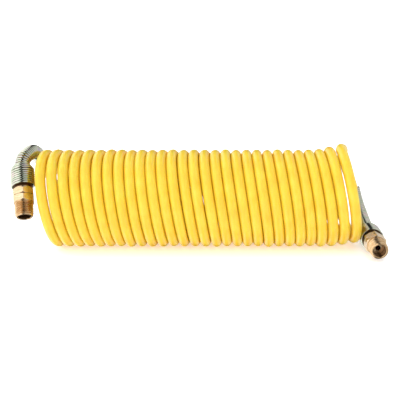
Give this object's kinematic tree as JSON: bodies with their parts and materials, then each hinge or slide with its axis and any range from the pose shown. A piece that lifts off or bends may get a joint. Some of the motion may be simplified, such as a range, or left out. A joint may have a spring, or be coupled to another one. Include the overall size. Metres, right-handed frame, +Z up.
{
  "type": "coiled air hose",
  "caption": "Self-coiling plastic air hose, wound into a close cylinder, with a spring-guarded swivel male pipe thread fitting at each end.",
  "frame": {"origin": "On the table, under the middle of the object's bounding box", "axes": "+X runs along the coil towards the fitting that lies low at its right end, +Y points away from the side the fittings face, and +Z is up"},
  "size_m": [0.2798, 0.0781, 0.0783],
  "materials": {
    "hose_nylon": "semi-gloss extruded nylon",
    "brass": "machined, bright",
    "zinc_wire": "zinc-plated spring wire with faint iridescence",
    "washer_plastic": "plain",
    "seal_rubber": "matt"
  },
  "bodies": {
    "root": {"hose_coil": "hose_nylon", "hose_tail_left": "hose_nylon", "left_spring_guard": "zinc_wire", "left_clamp_nut": "brass", "left_ferrule": "brass", "left_stem": "brass", "left_thrust_washer": "washer_plastic", "left_o_ring": "seal_rubber", "left_retaining_collar": "brass"},
    "left_connector": {"left_connector": "brass"},
    "right_end": {"hose_tail_right": "hose_nylon", "right_spring_guard": "zinc_wire", "right_clamp_nut": "brass", "right_ferrule": "brass", "right_stem": "brass", "right_thrust_washer": "washer_plastic", "right_o_ring": "seal_rubber", "right_retaining_collar": "brass"},
    "right_connector": {"right_connector": "brass"}
  },
  "joints": [
    {"name": "left_swivel", "type": "hinge", "parent": "root", "child": "left_connector", "pos_m": [-0.12736, -0.02691, 0.04059], "axis": [0.1364, -0.6417, -0.7547], "continuous": true},
    {"name": "coil_stretch", "type": "slide", "parent": "root", "child": "right_end", "axis": [1, 0, 0], "range_m": [0, 1.07], "stiffness_N_per_m": 11, "deforming": ["hose_coil"]},
    {"name": "right_swivel", "type": "hinge", "parent": "right_end", "child": "right_connector", "pos_m": [0.13114, -0.02973, 0.0095], "axis": [0, -1, 0], "continuous": true}
  ]
}
